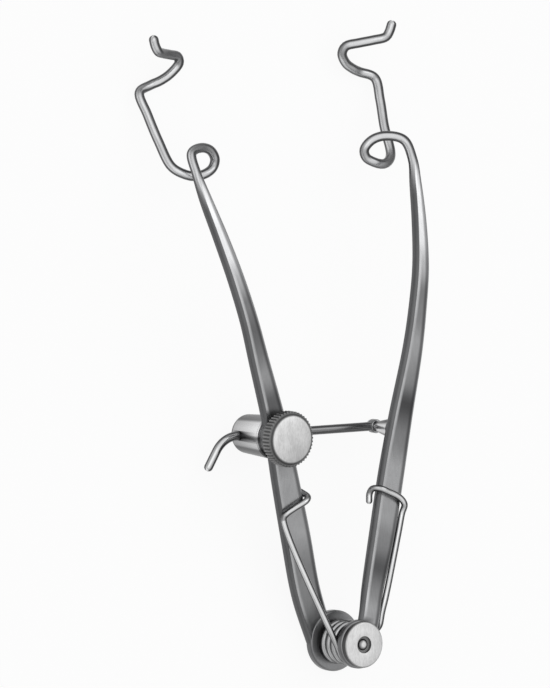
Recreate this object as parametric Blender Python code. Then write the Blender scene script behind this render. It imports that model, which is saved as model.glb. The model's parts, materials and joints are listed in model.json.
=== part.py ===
# Wire eye speculum: two strip arms on a capped hinge, sprung open, held by a rod and a thumbscrew.
# It is drawn in a hinge frame and then laid on its blades and its hinge eye by one root empty.
# Hinge frame: the hinge axis is +Z through the origin, the arms run along +Y, +Z is the front.

import math

import bmesh
import bpy
from mathutils import Matrix, Vector

MM = 0.001
MERGE_GAP = 0.0005 * MM  # turned points nearer than this are one

# Clearances
RUN_GAP = 0.05 * MM      # radial, round the pins and in the bores
SIDE_GAP = 0.04 * MM     # along an axis, between stacked faces
REST_GAP = 0.05 * MM     # between the spring's wire and an arm

# Stock
WIRE_D = 1.2 * MM        # loops and blades
STRIP_T = 1.1 * MM       # arms
STRIP_EDGE = 0.28 * MM   # rounding of the arms' long edges
SPRING_D = 0.8 * MM
ROD_D = 1.1 * MM
# Rounding of a wire's end: how far forward in diameters, and the section's share there
END_ROUNDING = ((0.28, 0.83), (0.45, 0.5))

# Hinge, from the rear face of the left eye to the front face of the cap
LEFT_EYE_R = 3.75 * MM
LEFT_EYE_T = 1.14 * MM
RIGHT_EYE_R = 3.0 * MM
RIGHT_EYE_T = 0.9 * MM
HINGE_REAR_Z = -1.97 * MM
COIL_TURNS = 3.5
COIL_PITCH = 0.965 * MM
COIL_R = 2.4 * MM        # to the middle of the wire
PIN_R = 0.9 * MM
PIN_END_R = 0.65 * MM     # turned down where it passes through the cap
PIN_HEAD_R = 1.5 * MM
PIN_HEAD_T = 0.3 * MM
PIN_DOME = 0.3 * MM
PIN_END_DROP = 0.08 * MM  # below the cap's face
SLEEVE_R = 1.8 * MM
SLEEVE_EDGE = 0.08 * MM
CAP_R = 2.85 * MM
CAP_T = 0.72 * MM
CAP_REAR_EDGE = 0.08 * MM
CAP_BEVEL = 0.2 * MM
CAP_BEVEL_DROP = 0.15 * MM
CAP_RECESS_R = 1.05 * MM
CAP_RECESS_DEPTH = 0.35 * MM
EYE_EDGE = 0.18 * MM

LEFT_EYE_Z = HINGE_REAR_Z + LEFT_EYE_T / 2
COIL_LOW_Z = HINGE_REAR_Z + LEFT_EYE_T + SIDE_GAP + SPRING_D / 2
COIL_HIGH_Z = COIL_LOW_Z + COIL_TURNS * COIL_PITCH
RIGHT_EYE_REAR_Z = COIL_HIGH_Z + SPRING_D / 2 + SIDE_GAP
RIGHT_EYE_Z = RIGHT_EYE_REAR_Z + RIGHT_EYE_T / 2
CAP_REAR_Z = RIGHT_EYE_REAR_Z + RIGHT_EYE_T + SIDE_GAP
CAP_FRONT_Z = CAP_REAR_Z + CAP_T

# Wire beyond each arm's strip: once round the loop, behind the arm, and out to the blade's U bend.
# A point is x outward, y along the arm and z.
LOOP_AND_BLADE = (
    (16.35, 57.8, -7.3),
    (16.05, 60.05, -8.7),
    (13.95, 60.6, -9.6),
    (12.2, 60.13, -10.06),
    (11.3, 59.0, -10.4),
    (11.58, 58.03, -10.43),
    (12.75, 57.35, -10.27),
    (14.3, 57.05, -10.5),
    (15.68, 57.45, -11.2),
    (16.6, 58.3, -12.2),
    (17.1, 61.3, -14.2),
    (17.6, 64.4, -15.75),
    (17.8, 67.0, -17.15),
    (15.84, 67.8, -17.6),
    (14.55, 68.3, -17.3),
    (13.27, 69.1, -17.0),
    (12.35, 70.4, -16.45),
    (12.7, 71.2, -16.2),
    (14.33, 71.6, -15.55),
    (15.9, 71.9, -14.85),
    (17.25, 72.3, -14.05),
    (17.75, 73.05, -13.95),
    (18.0, 73.8, -13.9),
)
# The arms' tables count in the unit in which the last point lies this far along the arm
ARM_LENGTH = 73.8 * MM
ARM_UNIT = ARM_LENGTH / LOOP_AND_BLADE[-1][1]
# Arms. A station is x outward, y along the arm, z, width, and thickness as a share of the strip's.
# Each arm leaves its own eye, and from the clamp on the two are mirror images.
LEFT_HIP = (
    (1.8, 0.0, LEFT_EYE_Z / ARM_UNIT, 3.9, 0.95),
    (3.95, 6.0, -1.55, 4.1, 1.0),
    (5.7, 13.0, -1.3, 4.15, 1.0),
    (7.6, 20.0, -0.85, 3.85, 1.0),
)
RIGHT_HIP = (
    (1.1, 0.8, RIGHT_EYE_Z / ARM_UNIT, 3.1, 0.7),
    (1.65, 3.2, RIGHT_EYE_Z / ARM_UNIT - 0.04, 3.1, 0.7),
    (2.75, 6.2, 2.95, 3.1, 0.9),
    (5.2, 12.8, 1.6, 3.6, 1.0),
    (7.5, 20.2, 0.4, 3.65, 1.0),
)
ARM_RUN = (
    (9.5, 27.0, -0.4, 3.3, 1.0),
    (11.6, 35.0, -0.8, 2.75, 1.0),
    (12.75, 40.0, -1.3, 2.45, 1.0),
    (13.95, 45.0, -2.3, 2.25, 1.0),
    (15.0, 50.0, -4.0, 2.0, 1.0),
    (15.95, 55.0, -6.1, 1.6, 1.0),
)
STRIP_STEP = 2.2 * MM    # between the sections of the strip
WIRE_STEP = 0.7 * MM     # between the sections of the wire
ARM_SIDES = 12
FLAT_RATIO = 1.6         # width over thickness from which the strip is fully flat

# Clamp. Both posts stand at the same distance from the hinge, so that the rod's pivot and the
# lock post each turn by half of what the arms turn.
POST_X = 9.05 * ARM_UNIT
POST_Y = 25.5 * ARM_UNIT
ROD_Z = -5.2 * MM
CLAMP_BOSS_R = 2.4 * MM
CLAMP_BOSS_T = 1.3 * MM
CLAMP_BOSS_Z = -0.45 * MM
NECK_R = 1.5 * MM
BARREL_R = 2.7 * MM
BARREL_END_R = 2.4 * MM
BARREL_ROUND = 0.9 * MM
BARREL_PAST_ROD = 2.2 * MM
BARREL_EDGE = 0.15 * MM
BARREL_ROUND_STEPS = 4
COLLAR_R = 2.5 * MM
COLLAR_T = 0.6 * MM
COLLAR_EDGE = 0.12 * MM
SCREW_R = 0.85 * MM
SCREW_TIP = 0.3 * MM
KNOB_R = 3.45 * MM
KNOB_FACE_R = 3.05 * MM
KNOB_T = 1.6 * MM
KNOB_LIFT = 0.15 * MM
KNOB_EDGE = 0.12 * MM
KNOB_CHAMFER = 0.25 * MM
KNOB_RIM_DROP = 0.42 * MM
KNOB_CROWN = 0.3 * MM
KNURLS = 48
KNURL_DEPTH = 0.13 * MM

ROD_PAST_BARREL = 0.05 * MM
ROD_BEND_R = 3.6 * MM
ROD_BEND_DEG = 58
ROD_BEND_STEPS = 8
ROD_SIDES = 12
ROD_TAIL = 2.3 * MM
ROD_EYE_R = 0.85 * MM
ROD_EYE_EDGE = 0.12 * MM
PIVOT_R = 0.4 * MM
PIVOT_BASE_R = 1.3 * MM
PIVOT_SHOULDER_R = 0.62 * MM
PIVOT_SPIGOT_R = 0.6 * MM
PIVOT_SPIGOT_LENGTH = 0.6 * MM
PIVOT_PAD_R = 1.4 * MM
PIVOT_PAD_REAR_Z = -1.2 * MM
PIVOT_PAD_T = 0.7 * MM
PIVOT_HEAD_R = 0.6 * MM
PIVOT_HEAD_T = 0.25 * MM
KEEPER_R = 0.75 * MM
KEEPER_T = 0.3 * MM
KEEPER_EDGE = 0.06 * MM

DRILL_PAST = 1.0 * MM    # how far a drill runs past a face
FINE = 40                # sides of the turned pieces
MEDIUM = 32
COARSE = 20

BARREL_TOP_Z = CLAMP_BOSS_Z - CLAMP_BOSS_T / 2 - SIDE_GAP
BARREL_LOW_Z = ROD_Z - BARREL_PAST_ROD
COLLAR_LOW_Z = CLAMP_BOSS_Z + CLAMP_BOSS_T / 2 + SIDE_GAP
COLLAR_TOP_Z = COLLAR_LOW_Z + COLLAR_T
KNOB_LOW_Z = COLLAR_TOP_Z + KNOB_LIFT
BORE_R = SCREW_R + RUN_GAP
ROD_BORE_R = ROD_D / 2 + RUN_GAP

# Spring legs, as stations on an arm: y along the arm in its unit, then across and lift, which
# count from the arm's side and face to the wire's own seat there. 1 is the outer side or the
# front face, 0 the middle and -1 the inner side or the rear face.
LEFT_LEG = (
    (18.2, -0.35, -1.0),
    (18.1, -0.85, -0.95),
    (17.7, -1.0, -0.35),
    (17.35, -1.0, 0.55),
    (17.15, -0.75, 1.0),
    (16.85, 0.0, 1.0),
    (16.5, 0.6, 1.0),
    (16.1, 0.8, 1.0),
)
RIGHT_LEG = (
    (6.0, 1.0, 0.2),
    (10.0, 1.0, 0.2),
    (14.0, 1.0, 0.2),
    (16.0, 1.0, 0.3),
    (16.9, 0.9, 0.85),
    (17.5, 0.5, 1.0),
    (17.8, -0.3, 1.0),
    (17.9, -0.9, 0.95),
    (17.75, -1.2, 0.35),
    (17.2, -1.2, -0.1),
    (16.3, -1.15, -0.1),
)
COIL_STEP_DEG = 18
LEG_STEP = 1.0 * MM
SPRING_SIDES = 8
LEFT_EXIT_DEG = 198      # where the front turn of the coil lets the left leg go
RIGHT_EXIT_DEG = -36     # where the rear turn lets the right leg go
# The right leg steps forward beside the right eye: x and y as shares of the nearest distance at
# which the wire clears the eye, then z as a share of the coil's height
RIGHT_STEP = (
    (0.826, 0.0, 0.012),
    (1.015, 0.232, 0.219),
    (1.058, 0.348, 0.678),
    (1.087, 0.551, 1.0),
    (1.174, 1.043, 1.063),
)

STEEL = {"base": (0.60, 0.61, 0.62), "roughness": 0.28}
SATIN = {"base": (0.80, 0.80, 0.80), "roughness": 0.38}
SPRING_STEEL = {"base": (0.66, 0.67, 0.68), "roughness": 0.22}


def clear_scene():
    for obj in list(bpy.data.objects):
        bpy.data.objects.remove(obj, do_unlink=True)


def steel(name, look):
    material = bpy.data.materials.new(name)
    material.use_nodes = True
    shader = material.node_tree.nodes["Principled BSDF"]
    shader.inputs["Base Color"].default_value = (*look["base"], 1.0)
    shader.inputs["Roughness"].default_value = look["roughness"]
    shader.inputs["Metallic"].default_value = 1.0
    return material


def empty(name, parent=None, location=(0.0, 0.0, 0.0)):
    node = bpy.data.objects.new(name, None)
    node.location = location
    node.parent = parent
    bpy.context.collection.objects.link(node)
    return node


def add_object(name, bm, parent):
    mesh = bpy.data.meshes.new(name)
    bm.to_mesh(mesh)
    bm.free()
    obj = bpy.data.objects.new(name, mesh)
    obj.parent = parent
    bpy.context.collection.objects.link(obj)
    return obj


def finish(obj, material):
    obj.data.materials.clear()
    obj.data.materials.append(material)
    obj.data.shade_smooth()
    obj.data.set_sharp_from_angle(angle=math.radians(32))


def combine(obj, bodies, operation):
    # Joins or cuts with each body in turn, and removes it
    for body in bodies:
        modifier = obj.modifiers.new("combine", "BOOLEAN")
        modifier.operation = operation
        modifier.solver = "EXACT"
        modifier.object = body
        bpy.context.view_layer.update()
        graph = bpy.context.evaluated_depsgraph_get()
        mesh = bpy.data.meshes.new_from_object(obj.evaluated_get(graph))
        obj.modifiers.clear()
        obj.data = mesh
        bpy.data.objects.remove(body, do_unlink=True)


def turned(profile, segments, centre=(0.0, 0.0)):
    # Spins a profile of (radius, z) points round a line parallel to Z
    bm = bmesh.new()
    verts = [bm.verts.new((radius, 0.0, z)) for radius, z in profile]
    edges = [bm.edges.new(pair) for pair in zip(verts, verts[1:])]
    if profile[0][0] > 0.0:
        edges.append(bm.edges.new((verts[-1], verts[0])))
    bmesh.ops.spin(bm, geom=verts + edges, cent=(0, 0, 0), axis=(0, 0, 1), dvec=(0, 0, 0),
                   angle=math.tau, steps=segments, use_merge=True, use_duplicate=False)
    bmesh.ops.remove_doubles(bm, verts=bm.verts, dist=MERGE_GAP)
    bmesh.ops.recalc_face_normals(bm, faces=bm.faces)
    bmesh.ops.translate(bm, verts=bm.verts, vec=(centre[0], centre[1], 0.0))
    return bm


def disc_profile(radius, z_low, z_high, edge):
    return (
        (0.0, z_low),
        (radius - edge, z_low),
        (radius, z_low + edge),
        (radius, z_high - edge),
        (radius - edge, z_high),
        (0.0, z_high),
    )


def ring_profile(inner, outer, z_low, z_high, edge):
    return (
        (inner, z_low),
        (outer - edge, z_low),
        (outer, z_low + edge),
        (outer, z_high - edge),
        (outer - edge, z_high),
        (inner, z_high),
    )


def drill(radius, z_low, z_high, segments, centre=(0.0, 0.0)):
    return turned(((0.0, z_low), (radius, z_low), (radius, z_high), (0.0, z_high)), segments, centre)


def spline(points, steps_for):
    # Smooth curve through the points. Each may carry more numbers after x, y and z.
    # steps_for gives the number of steps between two of them.
    first = [2 * a - b for a, b in zip(points[0], points[1])]
    last = [2 * a - b for a, b in zip(points[-1], points[-2])]
    hull = [first, *points, last]
    curve = []
    for before, start, end, after in zip(hull, hull[1:], hull[2:], hull[3:]):
        knots = [0.0]
        for a, b in ((before, start), (start, end), (end, after)):
            knots.append(knots[-1] + math.dist(a[:3], b[:3]) ** 0.5)
        steps = steps_for(start, end)
        for step in range(steps):
            t = knots[1] + (knots[2] - knots[1]) * step / steps
            level = [before, start, end, after]
            for width in (1, 2, 3):
                level = [
                    mix(level[i], level[i + 1], t, *knot_span(knots, i, width))
                    for i in range(len(level) - 1)
                ]
            curve.append(level[0])
    curve.append(list(points[-1]))
    return curve


def knot_span(knots, index, width):
    # The two knots between which this level of the curve's pyramid is mixed
    if width == 1:
        return knots[index], knots[index + 1]
    if width == 2:
        return knots[index], knots[index + 2]
    return knots[1], knots[2]


def mix(a, b, t, low, high):
    share = (t - low) / (high - low)
    return [p + (q - p) * share for p, q in zip(a, b)]


def frames(curve):
    # Tangent, side and face direction at each point. The side stays level along the arm's
    # strip, and turns with the wire after it.
    points = [Vector(p[:3]) for p in curve]
    result = []
    side = None
    for i, point in enumerate(points):
        ahead = points[min(i + 1, len(points) - 1)]
        behind = points[max(i - 1, 0)]
        tangent = (ahead - behind).normalized()
        if side is None:
            side = tangent.cross(Vector((0, 0, 1))).normalized()
        else:
            side = previous.rotation_difference(tangent) @ side
            side = (side - tangent * side.dot(tangent)).normalized()
        result.append((point, tangent, side, side.cross(tangent)))
        previous = tangent
    return result


def section(width, thickness, edge, sides):
    # Points of a rounded rectangle, which is a circle where the edge is half of both sizes
    points = []
    per_corner = sides // 4
    for i in range(sides):
        corner, place = divmod(i, per_corner)
        angle = math.radians(90 * corner + 90 * (place + 0.5) / per_corner)
        across = 1 if corner in (0, 3) else -1
        up = 1 if corner in (0, 1) else -1
        points.append((across * (width / 2 - edge) + edge * math.cos(angle),
                       up * (thickness / 2 - edge) + edge * math.sin(angle)))
    return points


def sweep(rings):
    # Extrudes a closed section from ring to ring and caps both ends
    bm = bmesh.new()
    ring = [bm.verts.new(point) for point in rings[0]]
    loop = [bm.edges.new(pair) for pair in zip(ring, ring[1:] + ring[:1])]
    bmesh.ops.contextual_create(bm, geom=loop)
    for places in rings[1:]:
        loop = [bm.edges.get(pair) for pair in zip(ring, ring[1:] + ring[:1])]
        made = bmesh.ops.extrude_edge_only(bm, edges=loop)["geom"]
        fresh = {item for item in made if isinstance(item, bmesh.types.BMVert)}
        ring = [next(e.other_vert(v) for e in v.link_edges if e.other_vert(v) in fresh) for v in ring]
        for vert, place in zip(ring, places):
            vert.co = place
    loop = [bm.edges.get(pair) for pair in zip(ring, ring[1:] + ring[:1])]
    bmesh.ops.contextual_create(bm, geom=loop)
    bmesh.ops.recalc_face_normals(bm, faces=bm.faces)
    return bm


def wire_end(placed, way, diameter, sides):
    # Rings that close a wire's end, from the full section outward
    point, tangent, side, face = placed
    shape = [side * a + face * b for a, b in section(diameter, diameter, diameter / 2, sides)]
    return [
        [point + tangent * way * diameter * forward + offset * share for offset in shape]
        for forward, share in END_ROUNDING
    ]


def round_wire(points, diameter, sides):
    # A wire along the points, with rounded ends
    shape = section(diameter, diameter, diameter / 2, sides)
    placed = frames(points)
    rings = [[point + side * a + face * b for a, b in shape] for point, tangent, side, face in placed]
    start = wire_end(placed[0], -1, diameter, sides)
    return start[::-1] + rings + wire_end(placed[-1], 1, diameter, sides)


def arm_curve(hip, side):
    # Centre line of one arm from its eye to the blade's tip, with width and thickness
    stations = [(*(value * ARM_UNIT for value in row[:4]), row[4] * STRIP_T) for row in hip + ARM_RUN]
    stations += [(*(value * ARM_UNIT for value in row), WIRE_D, WIRE_D) for row in LOOP_AND_BLADE]
    wire_start = LOOP_AND_BLADE[0][1] * ARM_UNIT

    def steps_for(start, end):
        step = STRIP_STEP if start[1] < wire_start and end[1] <= wire_start else WIRE_STEP
        return max(1, round(math.dist(start[:3], end[:3]) / step))

    return [[side * row[0], *row[1:]] for row in spline(stations, steps_for)]


def arm_seat(curve, y, across, lift, wire):
    # A point beside the arm at height y, where a wire of this diameter lies on its surface
    placed = frames(curve)
    i = next(k for k, row in enumerate(curve) if row[1] >= y)
    share = (y - curve[i - 1][1]) / (curve[i][1] - curve[i - 1][1])
    point = placed[i - 1][0].lerp(placed[i][0], share)
    side = placed[i][2] * math.copysign(1.0, point.x)
    width = curve[i - 1][3] + (curve[i][3] - curve[i - 1][3]) * share
    thickness = curve[i - 1][4] + (curve[i][4] - curve[i - 1][4]) * share
    reach = wire / 2 + REST_GAP
    return point + side * across * (width / 2 + reach) + placed[i][3] * lift * (thickness / 2 + reach)


def arm_body(name, curve, parent):
    # The strip turns into round wire where its width comes down to its thickness
    rings = []
    placed = frames(curve)
    for row, (point, tangent, side, face) in zip(curve, placed):
        width, thickness = row[3], row[4]
        round_share = max(0.0, min(1.0, (thickness * FLAT_RATIO - width) / (thickness * (FLAT_RATIO - 1))))
        edge = STRIP_EDGE + (thickness / 2 - STRIP_EDGE) * round_share
        shape = section(width, thickness, edge, ARM_SIDES)
        rings.append([point + side * a + face * b for a, b in shape])
    rings += wire_end(placed[-1], 1, WIRE_D, ARM_SIDES)
    return add_object(name, sweep(rings), parent)


def make_left_arm(root, curve):
    arm = arm_body("left_arm", curve, root)
    eye_front = HINGE_REAR_Z + LEFT_EYE_T
    boss_rear = CLAMP_BOSS_Z - CLAMP_BOSS_T / 2
    boss_front = CLAMP_BOSS_Z + CLAMP_BOSS_T / 2
    post = (-POST_X, POST_Y)
    added = (
        turned(disc_profile(LEFT_EYE_R, HINGE_REAR_Z, eye_front, EYE_EDGE), FINE),
        turned(disc_profile(CLAMP_BOSS_R, boss_rear, boss_front, EYE_EDGE), MEDIUM, post),
    )
    cut = (
        drill(PIN_R + RUN_GAP, HINGE_REAR_Z - DRILL_PAST, eye_front + DRILL_PAST, MEDIUM),
        drill(NECK_R + RUN_GAP, boss_rear - DRILL_PAST, boss_front + DRILL_PAST, MEDIUM, post),
    )
    combine(arm, [add_object("added", bm, root) for bm in added], "UNION")
    combine(arm, [add_object("cut", bm, root) for bm in cut], "DIFFERENCE")
    return arm


def make_right_arm(swing, curve):
    arm = arm_body("right_arm", curve, swing)
    eye_front = RIGHT_EYE_REAR_Z + RIGHT_EYE_T
    pad_front = PIVOT_PAD_REAR_Z + PIVOT_PAD_T
    spigot_top = PIVOT_PAD_REAR_Z + PIVOT_SPIGOT_LENGTH + SIDE_GAP
    post = (POST_X, POST_Y)
    added = (
        turned(disc_profile(RIGHT_EYE_R, RIGHT_EYE_REAR_Z, eye_front, EYE_EDGE), FINE),
        turned(disc_profile(PIVOT_PAD_R, PIVOT_PAD_REAR_Z, pad_front, EYE_EDGE / 2), COARSE, post),
    )
    cut = (
        drill(PIN_R + RUN_GAP, RIGHT_EYE_REAR_Z - DRILL_PAST, eye_front + DRILL_PAST, MEDIUM),
        drill(PIVOT_SPIGOT_R + RUN_GAP, PIVOT_PAD_REAR_Z - DRILL_PAST, spigot_top, COARSE, post),
    )
    combine(arm, [add_object("added", bm, swing) for bm in added], "UNION")
    combine(arm, [add_object("cut", bm, swing) for bm in cut], "DIFFERENCE")
    return arm


def make_pin(root):
    head_top = HINGE_REAR_Z - SIDE_GAP
    head_low = head_top - PIN_HEAD_T
    end = CAP_FRONT_Z - PIN_END_DROP
    shoulder = CAP_REAR_Z - SIDE_GAP
    profile = (
        (0.0, head_low),
        (PIN_HEAD_R * 0.8, head_low),
        (PIN_HEAD_R, head_low + PIN_HEAD_T / 2),
        (PIN_HEAD_R, head_top),
        (PIN_R, head_top),
        (PIN_R, shoulder),
        (PIN_END_R, shoulder),
        (PIN_END_R, end - PIN_DOME),
        (PIN_END_R * 0.8, end - PIN_DOME / 3),
        (PIN_END_R * 0.4, end),
        (0.0, end),
    )
    return add_object("hinge_pin", turned(profile, MEDIUM), root)


def make_cap(root):
    bore = PIN_END_R + RUN_GAP
    recess = CAP_FRONT_Z - CAP_RECESS_DEPTH
    profile = (
        (bore, CAP_REAR_Z),
        (CAP_R - CAP_REAR_EDGE, CAP_REAR_Z),
        (CAP_R, CAP_REAR_Z + CAP_REAR_EDGE),
        (CAP_R, CAP_FRONT_Z - CAP_BEVEL_DROP),
        (CAP_R - CAP_BEVEL, CAP_FRONT_Z),
        (CAP_RECESS_R, CAP_FRONT_Z),
        (CAP_RECESS_R, recess),
        (bore, recess),
    )
    return add_object("hinge_cap", turned(profile, FINE), root)


def make_sleeve(root):
    low = HINGE_REAR_Z + LEFT_EYE_T + SIDE_GAP
    profile = ring_profile(PIN_R + RUN_GAP, SLEEVE_R, low, RIGHT_EYE_REAR_Z - SIDE_GAP, SLEEVE_EDGE)
    return add_object("hinge_sleeve", turned(profile, MEDIUM), root)


def make_spring(root, left_curve, right_curve):
    # One wire: left hook, left leg, coil from the front turn to the rear one, right leg, right hook
    left = [arm_seat(left_curve, y * ARM_UNIT, across, lift, SPRING_D) for y, across, lift in LEFT_LEG]
    right = [arm_seat(right_curve, y * ARM_UNIT, across, lift, SPRING_D) for y, across, lift in RIGHT_LEG]
    beside = RIGHT_EYE_R + SPRING_D / 2 + REST_GAP
    rise = COIL_HIGH_Z - COIL_LOW_Z
    step = [Vector((x * beside, y * beside, COIL_LOW_Z + lift * rise)) for x, y, lift in RIGHT_STEP]
    sweep_deg = COIL_TURNS * 360 + (RIGHT_EXIT_DEG + 180 - LEFT_EXIT_DEG)
    count = round(sweep_deg / COIL_STEP_DEG)
    coil = []
    for k in range(count + 1):
        angle = math.radians(LEFT_EXIT_DEG + sweep_deg * k / count)
        z = COIL_HIGH_Z - rise * k / count
        coil.append(Vector((COIL_R * math.cos(angle), COIL_R * math.sin(angle), z)))

    def steps_for(start, end):
        return max(1, round(math.dist(start[:3], end[:3]) / LEG_STEP))

    before = spline([tuple(p) for p in left + coil[:2]], steps_for)
    after = spline([tuple(p) for p in coil[-2:] + step + right], steps_for)
    path = before[:-2] + [tuple(p) for p in coil] + after[2:]
    return add_object("torsion_spring", sweep(round_wire(path, SPRING_D, SPRING_SIDES)), root)


def make_lock_post(swivel):
    low = BARREL_LOW_Z
    profile = [(0.0, low)]
    for k in range(BARREL_ROUND_STEPS + 1):
        angle = math.radians(90 * k / BARREL_ROUND_STEPS)
        profile.append((BARREL_END_R - BARREL_ROUND * (1 - math.sin(angle)),
                        low + BARREL_ROUND * (1 - math.cos(angle))))
    profile += [
        (BARREL_R, BARREL_TOP_Z - BARREL_EDGE),
        (BARREL_R - BARREL_EDGE, BARREL_TOP_Z),
        (NECK_R, BARREL_TOP_Z),
        (NECK_R, COLLAR_TOP_Z),
        (0.0, COLLAR_TOP_Z),
    ]
    post = add_object("lock_post", turned(profile, FINE), swivel)
    bore = drill(BORE_R, ROD_Z, COLLAR_TOP_Z + DRILL_PAST, COARSE)
    cross = drill(ROD_BORE_R, -BARREL_R - DRILL_PAST, BARREL_R + DRILL_PAST, COARSE)
    bmesh.ops.rotate(cross, verts=cross.verts, cent=(0, 0, 0), matrix=Matrix.Rotation(math.pi / 2, 3, "Y"))
    bmesh.ops.translate(cross, verts=cross.verts, vec=(0, 0, ROD_Z))
    combine(post, [add_object("cut", bm, swivel) for bm in (bore, cross)], "DIFFERENCE")
    return post


def make_collar(swivel):
    profile = ring_profile(NECK_R + RUN_GAP, COLLAR_R, COLLAR_LOW_Z, COLLAR_TOP_Z, COLLAR_EDGE)
    return add_object("post_collar", turned(profile, MEDIUM), swivel)


def make_thumbscrew(swivel):
    # Knurled rim, crowned face and a plain shank that ends just above the rod
    top = KNOB_LOW_Z + KNOB_T
    tip = ROD_Z + ROD_D / 2 + SIDE_GAP
    count = KNURLS * 2

    def ring(radius, z, toothed):
        places = []
        for k in range(count):
            angle = math.tau * k / count
            reach = radius - (KNURL_DEPTH if toothed and k % 2 else 0.0)
            places.append((reach * math.cos(angle), reach * math.sin(angle), z))
        return places

    rim_top = top - KNOB_RIM_DROP
    rings = [
        ring(SCREW_R * 0.6, tip, False),
        ring(SCREW_R, tip + SCREW_TIP, False),
        ring(SCREW_R, KNOB_LOW_Z, False),
        ring(KNOB_R - KNOB_CHAMFER, KNOB_LOW_Z, False),
        ring(KNOB_R, KNOB_LOW_Z + KNOB_EDGE, True),
        ring(KNOB_R, rim_top, True),
        ring(KNOB_R - KNOB_CHAMFER, rim_top + KNOB_EDGE, False),
        ring(KNOB_FACE_R, top - KNOB_EDGE, False),
        ring(KNOB_FACE_R - KNOB_CROWN, top, False),
    ]
    return add_object("thumbscrew", sweep(rings), swivel)


def make_rod(pivot):
    # Drawn from the pivot along -X, through the lock post, with its end turned down
    straight = 2 * POST_X + BARREL_R + ROD_PAST_BARREL
    path = [(-ROD_EYE_R * 0.6, 0.0, ROD_Z), (-straight * 0.5, 0.0, ROD_Z), (-straight, 0.0, ROD_Z)]
    for k in range(1, ROD_BEND_STEPS + 1):
        angle = math.radians(ROD_BEND_DEG * k / ROD_BEND_STEPS)
        path.append((-straight - ROD_BEND_R * math.sin(angle), -ROD_BEND_R * (1 - math.cos(angle)), ROD_Z))
    end = math.radians(ROD_BEND_DEG)
    path.append((path[-1][0] - ROD_TAIL * math.cos(end), path[-1][1] - ROD_TAIL * math.sin(end), ROD_Z))
    rod = add_object("guide_rod", sweep(round_wire(path, ROD_D, ROD_SIDES)), pivot)
    eye = disc_profile(ROD_EYE_R, ROD_Z - ROD_D / 2, ROD_Z + ROD_D / 2, ROD_EYE_EDGE)
    combine(rod, [add_object("added", turned(eye, MEDIUM), pivot)], "UNION")
    hole = drill(PIVOT_R + RUN_GAP, ROD_Z - ROD_D, ROD_Z + ROD_D, COARSE)
    combine(rod, [add_object("cut", hole, pivot)], "DIFFERENCE")
    return rod


def make_pivot_post(pivot):
    # Tapered stud behind the right arm, with a journal for the rod's eye and a riveted end
    base = PIVOT_PAD_REAR_Z - SIDE_GAP
    shoulder = ROD_Z + ROD_D / 2 + SIDE_GAP
    journal_low = ROD_Z - ROD_D / 2 - KEEPER_T - 3 * SIDE_GAP
    profile = (
        (0.0, journal_low - PIVOT_HEAD_T),
        (PIVOT_HEAD_R * 0.7, journal_low - PIVOT_HEAD_T),
        (PIVOT_HEAD_R, journal_low - PIVOT_HEAD_T * 0.4),
        (PIVOT_HEAD_R, journal_low),
        (PIVOT_R, journal_low),
        (PIVOT_R, shoulder),
        (PIVOT_SHOULDER_R, shoulder),
        (PIVOT_BASE_R, base),
        (PIVOT_SPIGOT_R, base),
        (PIVOT_SPIGOT_R, PIVOT_PAD_REAR_Z + PIVOT_SPIGOT_LENGTH),
        (0.0, PIVOT_PAD_REAR_Z + PIVOT_SPIGOT_LENGTH),
    )
    return add_object("pivot_post", turned(profile, COARSE), pivot)


def make_keeper(pivot):
    high = ROD_Z - ROD_D / 2 - SIDE_GAP
    profile = ring_profile(PIVOT_R + RUN_GAP, KEEPER_R, high - KEEPER_T, high, KEEPER_EDGE)
    return add_object("rod_keeper", turned(profile, COARSE), pivot)


def rest_pitch(points):
    # The tilt at which the blades and the hinge eye touch the table together
    middle = sum(p.y for p in points) / len(points)
    blades = [p for p in points if p.y > middle]
    hinge = [p for p in points if p.y <= middle]
    low, high = 0.0, math.radians(30)
    for _ in range(50):
        pitch = (low + high) / 2
        up = Vector((0.0, math.sin(pitch), math.cos(pitch)))
        if min(p.dot(up) for p in blades) < min(p.dot(up) for p in hinge):
            low = pitch
        else:
            high = pitch
    return high


def lay_down(root, objects):
    points = [obj.matrix_world @ v.co for obj in objects for v in obj.data.vertices]
    pitch = rest_pitch(points)
    turn = Matrix.Rotation(pitch, 3, "X")
    laid = [turn @ p for p in points]
    root.rotation_euler = (pitch, 0.0, 0.0)
    root.location = (
        -(min(p.x for p in laid) + max(p.x for p in laid)) / 2,
        -(min(p.y for p in laid) + max(p.y for p in laid)) / 2,
        -min(p.z for p in laid),
    )


def build():
    clear_scene()
    root = empty("speculum")
    swing = empty("arm_hinge", root)
    pivot = empty("rod_pivot", swing, (POST_X, POST_Y, 0.0))
    swivel = empty("post_swivel", root, (-POST_X, POST_Y, 0.0))
    left_curve = arm_curve(LEFT_HIP, -1)
    right_curve = arm_curve(RIGHT_HIP, 1)
    looks = {
        "left_arm": (make_left_arm(root, left_curve), STEEL),
        "right_arm": (make_right_arm(swing, right_curve), STEEL),
        "hinge_pin": (make_pin(root), STEEL),
        "hinge_cap": (make_cap(root), SATIN),
        "hinge_sleeve": (make_sleeve(root), STEEL),
        "torsion_spring": (make_spring(root, left_curve, right_curve), SPRING_STEEL),
        "lock_post": (make_lock_post(swivel), SATIN),
        "post_collar": (make_collar(swivel), STEEL),
        "thumbscrew": (make_thumbscrew(swivel), SATIN),
        "guide_rod": (make_rod(pivot), SPRING_STEEL),
        "pivot_post": (make_pivot_post(pivot), STEEL),
        "rod_keeper": (make_keeper(pivot), STEEL),
    }
    for name, (obj, look) in looks.items():
        finish(obj, steel(name, look))
    bpy.context.view_layer.update()
    lay_down(root, [obj for obj, look in looks.values()])


build()
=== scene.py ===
import json
import math

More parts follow.
